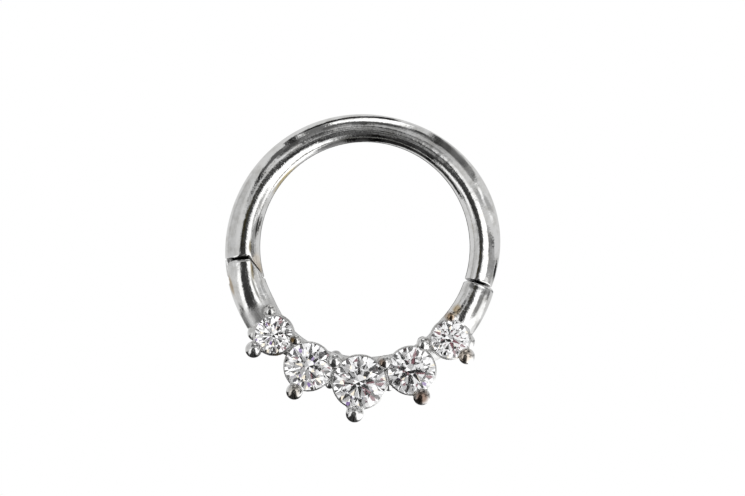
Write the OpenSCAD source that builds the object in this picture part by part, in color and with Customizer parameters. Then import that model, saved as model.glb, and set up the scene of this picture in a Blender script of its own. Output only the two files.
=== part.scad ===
// A hinged septum ring. It lies on its back: the ring's axis is Z, the crown points to +Y,
// and the jewelled bar is at -Y with its stones facing +Z. The origin is the centre of the
// opening, on the surface that the ring lies on. Angles round the ring run from +X.

/* [Ring] */
// Diameter of the ring's opening
bore_d = 8; // [7.6:0.1:8.4]
// Thickness of the wire along the ring's axis
wire_t = 1.2; // [1.1:0.05:1.3]
// Angle at which the arc meets the bar at the catch
catch_angle = -15.2; // [-18:0.1:-13]
// Angle at which the arc meets the bar at the hinge
hinge_angle = 187.4; // [185:0.1:190]

/* [Hinge] */
// Diameter of the hinge pin
pin_d = 0.36; // [0.3:0.01:0.4]
// Distance of the pin from the ring's outer surface
pin_inset = 0.41; // [0.38:0.01:0.45]
// Distance of the pin below the end of the arc
pin_drop = 0.47; // [0.45:0.01:0.5]
// Thickness of the arc's tongue between the cheeks of the fork
tongue_t = 0.4; // [0.34:0.01:0.44]
// Clearance between the arc and the bar, wherever they face each other
joint_gap = 0.04; // [0.03:0.005:0.05]

/* [Catch] */
// Diameter of the stub that holds the bar's free end in the arc
stub_d = 0.4; // [0.3:0.01:0.44]
// Length of the stub past the end of the bar
stub_l = 0.4; // [0.3:0.01:0.5]

/* [Stones] */
// Diameter of the middle stone
centre_d = 2; // [1.9:0.01:2.05]
// Diameter of the stones beside it
inner_d = 1.8; // [1.7:0.01:1.85]
// Diameter of the two end stones
outer_d = 1.43; // [1.35:0.01:1.5]
// Width of the table as a share of the stone's diameter
table_share = 0.57; // [0.53:0.01:0.62]
// Slope of the crown facets in degrees
crown_slope = 34; // [31:0.5:36]
// Slope of the pavilion facets in degrees
pavilion_slope = 41; // [40:0.25:42]

/* [Setting] */
// Narrowest wall of the cups round the stones, at the girdle
rim_w = 0.06; // [0.05:0.01:0.08]
// Diameter of a prong as a share of its ball's
prong_share = 0.8; // [0.7:0.05:0.85]

/* [Hidden] */
$fn = 48;
bore_r = bore_d / 2;
pin_r = pin_d / 2;
stub_r = stub_d / 2;
far = 3; // reach of the cutting shapes past the wire

// The wire stands this much clear of the surface, so the ring lies on the rail's flat back.
wire_lift = 0.01;
wire_mid = wire_lift + wire_t / 2;

// The wire is swept round the ring in steps of this angle, with this many sides.
sweep_step = 3;
sweep_sides = 24;

// Radial width of the wire at places round the ring, which a smooth curve joins
ANGLE = 0;
WIDTH = 1;
arc_widths = [
    // angle, width
    [-15, 1.07],
    [7.5, 1.18],
    [30, 1.18],
    [52.5, 1.11],
    [75, 1.05],
    [97.5, 1.07],
    [120, 1.13],
    [142.5, 1.19],
    [165, 1.26],
    [187.5, 1.345],
    [205, 1.39],
];
hinge_arm_widths = [[184, 1.345], [198, 1.385], [212, 1.42]];
catch_arm_widths = [[324, 1.29], [335, 1.24], [346, 1.19]];

// The rail behind the cups is narrower, stands in from the opening, and is flat at the back,
// where its oval section dips below the surface and is cut off.
INSET = 2;
LOW = 3;
HIGH = 4;
rail_sections = [
    // angle, width, inset, low, high
    [221, 1.36, 0.08, 0.01, 1.19],
    [232, 1, 0.19, -0.08, 1],
    [242, 0.9, 0.22, -0.12, 0.95],
    [270, 0.9, 0.22, -0.12, 0.95],
    [298, 0.9, 0.22, -0.12, 0.95],
    [307, 0.98, 0.17, -0.08, 1],
    [315, 1.26, 0.02, 0.01, 1.18],
];

// A section of the plain wire: no inset, and its full thickness
function plain(row) = [row[ANGLE], row[WIDTH], 0, wire_lift, wire_lift + wire_t];
arc_sections = [for (row = arc_widths) plain(row)];
bar_sections = concat(
    [for (row = hinge_arm_widths) plain(row)],
    rail_sections,
    [for (row = catch_arm_widths) plain(row)]
);

// The five stones, by angle from -Y towards +X, distance of their centre from the ring's
// axis, diameter, height of the girdle, turn about their own axis, and how much wider than
// rim_w the wall of their cup is
ROUND = 0;
OUT = 1;
DIAMETER = 2;
GIRDLE = 3;
TURN = 4;
MORE_RIM = 5;
stones = [
    // round, out, diameter, girdle, turn, more rim
    [-43.7, 4.78, outer_d, 1.22, 9, 0.04],
    [-23, 4.99, inner_d, 1.3, 17, 0],
    [0, 5.1, centre_d, 1.36, 4, 0],
    [23, 4.99, inner_d, 1.3, 13, 0],
    [45, 4.75, outer_d, 1.22, 20, 0.02],
];
STONE_NODES = ["stone_far_left", "stone_left", "stone_centre", "stone_right", "stone_far_right"];

// The eleven prongs, by angle from -Y, distance of the ball and of the foot from the ring's
// axis, height of the ball's centre, and the ball's diameter
BALL_OUT = 1;
FOOT_OUT = 2;
BALL_UP = 3;
BALL_D = 4;
prongs = [
    // round, ball out, foot out, ball up, ball diameter
    [-53.9, 4.3, 4.42, 1.3, 0.46],
    [-45, 5.7, 5.2, 1.32, 0.63],
    [-34.3, 4.37, 4.45, 1.34, 0.46],
    [-23.7, 6.05, 5.5, 1.4, 0.62],
    [-12.6, 4.43, 4.34, 1.4, 0.58],
    [-1.2, 6.27, 5.65, 1.46, 0.67],
    [12.3, 4.41, 4.42, 1.4, 0.52],
    [23.1, 6.02, 5.5, 1.4, 0.65],
    [33.6, 4.27, 4.26, 1.34, 0.54],
    [45.3, 5.63, 5.2, 1.32, 0.61],
    [53.9, 4.2, 4.4, 1.3, 0.44],
];
foot_up = 0.3;

// Beads on both sides, by angle from -Y, distance from the ring's axis, height and diameter:
// between the middle cups on their outer side, and as shoulders between the arms and the
// outermost prongs
BEAD_OUT = 1;
BEAD_UP = 2;
BEAD_D = 3;
beads = [
    // round, out, up, diameter
    [12, 5.36, 1.12, 0.34],
    [49.5, 5.29, 0.85, 0.6],
];

// Cup and seat
cup_up = 0.1; // height of a cup's open lower end
cup_hole = 0.5; // the lower opening as a share of the stone's radius
cup_foot_w = 0.16; // wall of a cup at its lower end
seat_gap = 0.015; // space between a stone and its seat
seat_past = 0.1; // how far a seat's opening is cut past the back of the ring
girdle_share = 0.03; // thickness of a girdle as a share of the diameter
main_share = 0.24; // width across the lowest corners of the halves, as a share of the diameter

// Hinge: the arc's lip laps the bar on its inner side.
hinge_w = value_at(arc_sections, WIDTH, hinge_angle);
pin_out = bore_r + hinge_w - pin_inset;
pin_at = [
    pin_out * cos(hinge_angle) - pin_drop * sin(hinge_angle),
    pin_out * sin(hinge_angle) + pin_drop * cos(hinge_angle),
];
pin_fit = 0.01;
pin_run = 0.02;
knuckle_r = pin_drop - joint_gap;
tongue_in = 0.07; // how far the tongue's round end stands in from the fork's
tongue_r = knuckle_r - tongue_in;
lip_w = 0.38; // width of the lip at the end of the arc
lip_l = 0.73;
lip_past = 0.15; // how far the lip's edge is cut past its length
lip_lean = 0.45; // how far the lip's edge runs inwards over its length
heel_share = 0.7; // how far in the tongue's lower edge bends, as a share of the wire's width
heel_step = 0.08; // how much lower that edge is at the bend
pin_low = 0.18;
pin_high = 0.96;
pin_blind = 0.98; // top of the pin's blind bore

// Catch: the stub points the way in which the bar's free end closes.
arc_end_w = value_at(arc_sections, WIDTH, catch_angle);
bar_end_w = value_at(bar_sections, WIDTH, 360 + catch_angle);
catch_mid = bore_r + (arc_end_w + bar_end_w) / 4;
socket_gap = 0.03;
stub_root = 0.3; // length inside the end of the bar
stub_tip = 0.1; // length of its tapered tip
closing_turn = atan2(pin_at[1] - catch_mid * sin(catch_angle), pin_at[0] - catch_mid * cos(catch_angle)) - 180;
gap_turn = joint_gap / catch_mid * 180 / PI; // the gap as an angle round the ring
tongue_end = hinge_angle + 16; // the arc's wire is swept this far, past the end of its tongue
fork_end = hinge_angle - 3; // the bar's wire is swept from here, past the end of its fork

// Smooth curve through one column of a table of sections
function last(rows) = len(rows) - 1;
function slope_at(rows, column, i) =
    let (a = max(i - 1, 0), b = min(i + 1, last(rows)))
    (rows[b][column] - rows[a][column]) / (rows[b][ANGLE] - rows[a][ANGLE]);
function value_at(rows, column, angle) =
    let (
        i = max([for (k = [0:last(rows) - 1]) if (k == 0 || rows[k][ANGLE] <= angle) k]),
        step = rows[i + 1][ANGLE] - rows[i][ANGLE],
        u = (angle - rows[i][ANGLE]) / step,
        v = 1 - u
    )
    rows[i][column] * (1 + 2 * u) * v * v + slope_at(rows, column, i) * step * u * v * v
        + rows[i + 1][column] * (1 + 2 * v) * u * u - slope_at(rows, column, i + 1) * step * v * u * u;

// One oval section of the wire, as points, with nothing below the surface that it lies on
function section(rows, angle) =
    let (
        half = value_at(rows, WIDTH, angle) / 2,
        mid = bore_r + value_at(rows, INSET, angle) + half,
        low = value_at(rows, LOW, angle),
        rise = (value_at(rows, HIGH, angle) - low) / 2
    )
    [
        for (k = [0:sweep_sides - 1])
        let (turn = 360 * k / sweep_sides, out = mid + half * cos(turn))
        [out * cos(angle), out * sin(angle), max(0, low + rise * (1 + sin(turn)))]
    ];

// A length of the wire between two angles
module wire(rows, from, to) {
    n = ceil((to - from) / sweep_step);
    m = sweep_sides;
    points = [for (i = [0:n]) each section(rows, from + (to - from) * i / n)];
    sides = [
        for (i = [0:n - 1], k = [0:m - 1])
        let (a = i * m + k, b = i * m + (k + 1) % m)
        each [[a, b, a + m], [b, b + m, a + m]]
    ];
    ends = [[for (k = [m - 1:-1:0]) k], [for (k = [0:m - 1]) n * m + k]];
    polyhedron(points = points, faces = concat(sides, ends), convexity = 6);
}

// Puts its children at the hinge pin, with x outwards and y along the bar.
module at_pin() {
    rotate([0, 0, hinge_angle]) translate([pin_out, pin_drop, 0]) children();
}

// Puts its children at an angle from -Y and a distance from the ring's axis.
module at_round(angle, out, up) {
    rotate([0, 0, angle]) translate([0, -out, up]) children();
}

// Outline of the arc's end: all above the split, and the lip, moved down by a gap.
module arc_outline(gap) {
    lean = lip_lean / lip_l;
    top = gap - pin_drop;
    tip = lip_l + lip_past - pin_drop;
    start = pin_inset + lip_w - hinge_w + gap * norm([1, lean]);
    polygon([
        [far, top],
        [start - lean * gap, top],
        [start - lean * (tip + pin_drop), tip],
        [-far, tip],
        [-far, -far],
        [far, -far],
    ]);
}

// Outline of the tongue round the pin, grown by a gap.
module tongue_outline(gap) {
    r = tongue_r + gap;
    heel = lip_l - pin_drop + gap;
    polygon(concat(
        [[r, -2 * pin_drop]],
        [for (a = [0:15:90]) r * [cos(a), sin(a)]],
        [[-heel_share * hinge_w, heel + heel_step], [-far, heel], [-far, -2 * pin_drop]]
    ));
}

// Outline of everything round the hinge below the split.
module below_split() {
    translate([-far, -pin_drop - joint_gap]) square([2 * far, far]);
}

// Outline of the fork's outer corner that is rounded away about the pin.
module corner_outline() {
    polygon(concat(
        [for (a = [-90:15:0]) knuckle_r * [cos(a), sin(a)]],
        [[far, 0], [far, -far], [0, -far]]
    ));
}

// The three layers of the hinge, from the back: cheek, tongue, cheek.
module cheek_layers() {
    for (z = [wire_mid - tongue_t / 2 - far, wire_mid + tongue_t / 2])
        translate([0, 0, z]) linear_extrude(far) children();
}

// A solid of revolution that a stone fills, with its clearance and the way to its back
module seat(row) {
    r = row[DIAMETER] / 2;
    g = girdle_share * r;
    hole = cup_hole * r;
    table = table_share * r;
    rise = (r - table) * tan(crown_slope);
    fall = (r - hole) * tan(pavilion_slope);
    rotate_extrude() polygon([
        [0, -row[GIRDLE] - seat_past],
        [hole, -row[GIRDLE] - seat_past],
        [hole, -g - fall - seat_gap],
        [r + seat_gap, -g - seat_gap / 2],
        [r + seat_gap, g + seat_gap / 2],
        [table, g + rise + 2 * seat_gap],
        [0, g + rise + 2 * seat_gap],
    ]);
}

// A round brilliant cut: table, eight stars, eight kites and sixteen halves above the
// girdle, and sixteen halves and eight mains below it
module brilliant(diameter) {
    r = diameter / 2;
    g = girdle_share * r;
    table = table_share * r;
    star = (table * cos(22.5) + r) / 2;
    low = main_share * r;
    crown = tan(crown_slope);
    pavilion = tan(pavilion_slope);
    n = 8;
    points = concat(
        [for (k = [0:n - 1]) [table * cos(45 * k), table * sin(45 * k), g + (r - table) * crown]],
        [for (k = [0:n - 1]) let (a = 45 * k + 22.5)
            [star * cos(a), star * sin(a), g + (r - star * cos(22.5)) * crown]],
        [for (k = [0:2 * n - 1]) [r * cos(22.5 * k), r * sin(22.5 * k), g]],
        [for (k = [0:2 * n - 1]) [r * cos(22.5 * k), r * sin(22.5 * k), -g]],
        [for (k = [0:n - 1]) let (a = 45 * k + 22.5)
            [low * cos(a), low * sin(a), -g - (r - low * cos(22.5)) * pavilion]],
        [[0, 0, -g - r * pavilion]]
    );
    // First point of each ring: stars, upper girdle, lower girdle, pavilion, and the culet
    s = n;
    u = 2 * n;
    l = 4 * n;
    p = 6 * n;
    tip = 7 * n;
    faces = concat(
        [[for (k = [n - 1:-1:0]) k]],
        [for (k = [0:n - 1]) let (j = (k + 1) % n) each [
            [k, j, s + k],
            [j, s + j, u + 2 * j, s + k],
            [s + k, u + 2 * k + 1, u + 2 * k],
            [s + k, u + 2 * j, u + 2 * k + 1],
            [p + k, l + 2 * k, l + 2 * k + 1],
            [p + k, l + 2 * k + 1, l + 2 * j],
            [tip, p + k, l + 2 * j, p + j],
        ]],
        [for (k = [0:2 * n - 1]) let (j = (k + 1) % (2 * n))
            [u + k, u + j, l + j, l + k]]
    );
    polyhedron(points = points, faces = faces, convexity = 2);
}

// A straight post with a ball on its end
module prong(row) {
    foot = [0, -row[FOOT_OUT], foot_up];
    ball = [0, -row[BALL_OUT], row[BALL_UP]];
    run = ball - foot;
    rotate([0, 0, row[ROUND]]) {
        translate(foot) rotate([atan2(-run[1], run[2]), 0, 0]) cylinder(h = norm(run), d = prong_share * row[BALL_D]);
        translate(ball) sphere(d = row[BALL_D]);
    }
}

// A conical cup with a thin rim at the girdle
module cup(row) {
    r = row[DIAMETER] / 2;
    at_round(row[ROUND], row[OUT], cup_up)
        cylinder(h = row[GIRDLE] - cup_up, r1 = cup_hole * r + cup_foot_w, r2 = r + rim_w + row[MORE_RIM]);
}

// The stub on the bar's free end, or the socket for it when a gap is given
module catch_stub(gap) {
    rotate([0, 0, catch_angle]) translate([catch_mid, 0, wire_mid]) rotate([0, 0, closing_turn - catch_angle])
        rotate([-90, 0, 0]) {
            translate([0, 0, -stub_root]) cylinder(h = stub_root + stub_l - stub_tip + gap, r = stub_r + gap);
            translate([0, 0, stub_l - stub_tip + gap])
                cylinder(h = stub_tip, r1 = stub_r + gap, r2 = stub_r - stub_tip + gap);
        }
}

module ring_arc() {
    color("silver") difference() {
        wire(arc_sections, catch_angle + gap_turn, tongue_end);
        at_pin() cheek_layers() difference() {
            below_split();
            arc_outline(0);
        }
        at_pin() translate([0, 0, -far]) linear_extrude(2 * far) difference() {
            below_split();
            tongue_outline(0);
            arc_outline(0);
        }
        at_pin() translate([0, 0, -far]) cylinder(h = 2 * far, r = pin_r + pin_run);
        catch_stub(socket_gap);
    }
}

module jewelled_bar() {
    color("silver") difference() {
        union() {
            forked_wire();
            for (row = stones) cup(row);
            for (row = prongs) prong(row);
            for (row = beads, side = [-1, 1])
                at_round(side * row[ROUND], row[BEAD_OUT], row[BEAD_UP]) sphere(d = row[BEAD_D]);
            catch_stub(0);
        }
        for (row = stones) at_round(row[ROUND], row[OUT], row[GIRDLE]) seat(row);
    }
}

// The bar's arms and rail, with the fork of the hinge
module forked_wire() {
    difference() {
        wire(bar_sections, fork_end, 360 + catch_angle);
        at_pin() translate([0, 0, -far]) linear_extrude(2 * far) {
            arc_outline(joint_gap);
            corner_outline();
        }
        at_pin() translate([0, 0, wire_mid - tongue_t / 2 - joint_gap]) linear_extrude(tongue_t + 2 * joint_gap) {
            tongue_outline(joint_gap);
            translate([0, -far]) square([far, far + tongue_r + joint_gap]);
        }
        at_pin() translate([0, 0, -far]) cylinder(h = far + pin_blind, r = pin_r + pin_fit);
    }
}

module hinge_pin() {
    color("silver") at_pin() translate([0, 0, pin_low]) cylinder(h = pin_high - pin_low, r = pin_r);
}

module stone(i) {
    row = stones[i];
    color("white") at_round(row[ROUND], row[OUT], row[GIRDLE]) rotate([0, 0, row[TURN]]) brilliant(row[DIAMETER]);
}

ring_arc();
jewelled_bar();
hinge_pin();
for (i = [0:len(stones) - 1])
    stone(i);
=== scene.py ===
"""A septum clicker: a polished arc, a cast bar with five cut stones, and the hinge between them.

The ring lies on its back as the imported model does, seen from above: its axis is Z, the jewelled bar is at -Y
and the hinge at -X. Shapes are made in millimetres and scaled to metres when a piece is finished. Angles are
in degrees, and those round the ring run from +X.
"""

import logging
import math
from collections.abc import Callable
from dataclasses import dataclass, field
from enum import Enum
from typing import ClassVar

import bmesh
import bpy
from mathutils import Matrix, Vector, noise

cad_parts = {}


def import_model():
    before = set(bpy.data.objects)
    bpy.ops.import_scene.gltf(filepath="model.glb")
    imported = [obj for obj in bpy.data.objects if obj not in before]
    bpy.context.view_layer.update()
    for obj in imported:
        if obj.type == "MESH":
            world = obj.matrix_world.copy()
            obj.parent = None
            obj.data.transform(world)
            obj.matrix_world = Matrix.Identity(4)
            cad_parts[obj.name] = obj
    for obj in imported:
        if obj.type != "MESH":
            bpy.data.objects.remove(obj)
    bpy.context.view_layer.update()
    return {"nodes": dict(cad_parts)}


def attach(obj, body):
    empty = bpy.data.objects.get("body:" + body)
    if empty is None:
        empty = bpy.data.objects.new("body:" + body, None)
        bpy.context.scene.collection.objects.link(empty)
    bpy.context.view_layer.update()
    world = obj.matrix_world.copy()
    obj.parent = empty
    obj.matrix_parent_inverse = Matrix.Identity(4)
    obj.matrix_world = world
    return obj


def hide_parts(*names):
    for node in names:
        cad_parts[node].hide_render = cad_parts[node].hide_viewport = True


LOG = logging.getLogger("septum_clicker")

MM = 0.001
OPENING_RADIUS = 4.0
# Further than any cut has to reach past the wire.
FAR = 3.0
# The grey of the painted shade in the splits.
SPLIT_SHADE = 0.04
# A crest nearer to the middle than this counts as none.
NO_CREST = 1e-3

Colour = tuple[float, float, float]
Point = tuple[float, float]
Span = tuple[float, float]
Mesh = bmesh.types.BMesh
Owner = bpy.types.Material | bpy.types.World
Source = bpy.types.Node | bpy.types.NodeSocket | float | tuple[float, ...] | Vector


class Side(Enum):
    """Whose side of a split is meant."""

    ARC = "arc"
    BAR = "bar"


def turned(angle: float) -> Matrix:
    """Gives the turn about the ring's axis by an angle in degrees."""
    return Matrix.Rotation(math.radians(angle), 4, "Z")


def smooth_step(value: float) -> float:
    """Gives 0 below 0, 1 above 1, and a smooth rise between them."""
    value = min(1.0, max(0.0, value))
    return value * value * (3 - 2 * value)


def nearness(reaches: float) -> float:
    """Gives 1 within half a reach, 0 past one and a half, and a smooth fall between them."""
    return smooth_step(1.5 - reaches)


def grey(level: float) -> Colour:
    """Gives a grey of one level."""
    return (level, level, level)


def way_to(spot: Point, path: list[Point]) -> float:
    """Gives the distance of a point from a path of straight lines.

    Args:
        spot: The point.
        path: The corners of the path.

    Returns:
        The distance to its nearest place.
    """
    nearest = math.inf
    for (ax, ay), (bx, by) in zip(path, path[1:]):
        dx, dy = bx - ax, by - ay
        share = ((spot[0] - ax) * dx + (spot[1] - ay) * dy) / (dx * dx + dy * dy)
        share = min(1.0, max(0.0, share))
        nearest = min(nearest, math.hypot(ax + share * dx - spot[0], ay + share * dy - spot[1]))
    return nearest


class Workbench:
    """Makes, joins, cuts and finishes closed meshes."""

    WELD = 1e-5
    BALL_DETAIL = 4
    SOFTENING = 0.5

    @classmethod
    def lathe(cls, profile: list[Point], steps: int = 96) -> Mesh:
        """Turns a profile about Z into a closed mesh.

        Args:
            profile: Points (distance from Z, height), from the axis and back to it.
            steps: Number of steps in the full turn.

        Returns:
            The turned mesh.
        """
        bm = bmesh.new()
        verts = [bm.verts.new((out, 0, up)) for out, up in profile]
        edges = [bm.edges.new(pair) for pair in zip(verts, verts[1:])]
        bmesh.ops.spin(bm, geom=verts + edges, cent=(0, 0, 0), axis=(0, 0, 1), angle=math.tau,
                       steps=steps, use_merge=True, use_duplicate=False)
        bmesh.ops.remove_doubles(bm, verts=bm.verts, dist=cls.WELD)
        bmesh.ops.recalc_face_normals(bm, faces=bm.faces)
        return bm

    @staticmethod
    def prism(outline: list[Point], low: float, high: float) -> Mesh:
        """Extrudes a flat outline along Z.

        Args:
            outline: Corners of the outline in order.
            low: Height of its lower face.
            high: Height of its upper face.

        Returns:
            The closed prism.
        """
        bm = bmesh.new()
        face = bm.faces.new([bm.verts.new((x, y, low)) for x, y in outline])
        grown = bmesh.ops.extrude_face_region(bm, geom=[face])["geom"]
        moved = [item for item in grown if isinstance(item, bmesh.types.BMVert)]
        bmesh.ops.translate(bm, verts=moved, vec=(0, 0, high - low))
        bmesh.ops.recalc_face_normals(bm, faces=bm.faces)
        return bm

    @classmethod
    def ball(cls, diameter: float, centre: Vector) -> Mesh:
        """Makes a round ball.

        Args:
            diameter: Its diameter.
            centre: Its middle.

        Returns:
            The closed mesh.
        """
        bm = bmesh.new()
        bmesh.ops.create_icosphere(bm, subdivisions=cls.BALL_DETAIL, radius=diameter / 2,
                                   matrix=Matrix.Translation(centre))
        return bm

    @staticmethod
    def placed(bm: Mesh, matrix: Matrix) -> Mesh:
        """Moves a mesh by a matrix and returns it."""
        bmesh.ops.transform(bm, matrix=matrix, verts=bm.verts)
        return bm

    @staticmethod
    def gather(parts: list[Mesh]) -> Mesh:
        """Puts several closed meshes into one, as loose bodies that may overlap.

        Args:
            parts: The meshes, which are used up.

        Returns:
            One mesh that holds them all.
        """
        bm = bmesh.new()
        for part in parts:
            mesh = bpy.data.meshes.new("part")
            part.to_mesh(mesh)
            part.free()
            bm.from_mesh(mesh)
            bpy.data.meshes.remove(mesh)
        return bm

    @classmethod
    def cut(cls, bm: Mesh, tools: list[Mesh]) -> Mesh:
        """Cuts closed meshes away from another, one after the other.

        Args:
            bm: The mesh to cut, which is used up.
            tools: The closed meshes to cut away, which are used up too.

        Returns:
            What is left of the mesh.
        """
        holder = cls.as_object(bm, "work")
        helpers = [cls.as_object(tool, "tool") for tool in tools]
        for helper in helpers:
            step = holder.modifiers.new("step", "BOOLEAN")
            step.operation = "DIFFERENCE"
            step.solver = "MANIFOLD"
            step.object = helper
        return cls.taken_from([holder, *helpers])

    @classmethod
    def recast(cls, bm: Mesh, grain: float, passes: int) -> Mesh:
        """Fuses overlapping bodies into one skin of small even faces and softens its corners.

        Args:
            bm: The bodies, which are used up.
            grain: Width of the new faces.
            passes: How many times the skin is smoothed.

        Returns:
            The fused skin.
        """
        holder = cls.as_object(bm, "work")
        step = holder.modifiers.new("step", "REMESH")
        step.mode = "VOXEL"
        step.voxel_size = grain
        fused = cls.taken_from([holder])
        for _ in range(passes):
            bmesh.ops.smooth_vert(fused, verts=fused.verts, factor=cls.SOFTENING, use_axis_x=True,
                                  use_axis_y=True, use_axis_z=True)
        return fused

    @staticmethod
    def as_object(bm: Mesh, name: str) -> bpy.types.Object:
        """Puts a mesh into a new object of the scene.

        Args:
            bm: The mesh, which is used up.
            name: The object's name.

        Returns:
            The object.
        """
        mesh = bpy.data.meshes.new(name)
        bm.to_mesh(mesh)
        bm.free()
        obj = bpy.data.objects.new(name, mesh)
        bpy.context.scene.collection.objects.link(obj)
        return obj

    @staticmethod
    def taken_from(objects: list[bpy.types.Object]) -> Mesh:
        """Applies the modifiers of the first object, and removes them all from the scene.

        Args:
            objects: The object to take, and the helpers that go with it.

        Returns:
            The first object's mesh with its modifiers applied.
        """
        depsgraph = bpy.context.evaluated_depsgraph_get()
        mesh = bpy.data.meshes.new_from_object(objects[0].evaluated_get(depsgraph))
        bm = bmesh.new()
        bm.from_mesh(mesh)
        bpy.data.meshes.remove(mesh)
        for obj in objects:
            used = obj.data
            bpy.data.objects.remove(obj)
            bpy.data.meshes.remove(used)
        return bm

    @classmethod
    def finished(cls, bm: Mesh, name: str, material: bpy.types.Material,
                 crease: float | None = 60.0) -> bpy.types.Object:
        """Scales a mesh to metres and makes it a piece of the scene.

        Args:
            bm: The mesh in millimetres, which is used up.
            name: The piece's name.
            material: What it is made of.
            crease: Edges sharper than this many degrees stay sharp, or None for flat faces.

        Returns:
            The new object, which sits at the origin.
        """
        bmesh.ops.scale(bm, vec=(MM, MM, MM), verts=bm.verts)
        for face in bm.faces:
            face.smooth = crease is not None
        obj = cls.as_object(bm, name)
        if crease is not None:
            obj.data.set_sharp_from_angle(angle=math.radians(crease))
        obj.data.materials.append(material)
        return obj


@dataclass(frozen=True)
class Station:
    """The wire's oval section at one angle round the ring."""

    angle: float
    width: float
    inset: float = 0.0
    low: float = 0.01
    high: float = 1.21
    crest: float = 0.0


@dataclass(frozen=True)
class Oval:
    """An oval section: its middle and half width, its lowest height, its half thickness and its crest.

    The crest is how far the highest place lies outside the middle, as a share of the half width.
    """

    middle: float
    half: float
    low: float
    rise: float
    crest: float

    def out(self, across: float, up: float) -> float:
        """Gives the distance from the ring's axis of a place on the round that the oval is made from."""
        return self.middle + self.half * (across + self.crest * max(0.0, up) ** 2)

    def unskewed(self, seen: float) -> float:
        """Gives where on the round a place of the upper half lies.

        Args:
            seen: How far across the wire it is seen from above, from -1 to 1.

        Returns:
            How far across the round it lies.
        """
        if abs(self.crest) < NO_CREST:
            return seen
        return (1 - math.sqrt(1 - 4 * self.crest * (seen - self.crest))) / (2 * self.crest)


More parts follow.
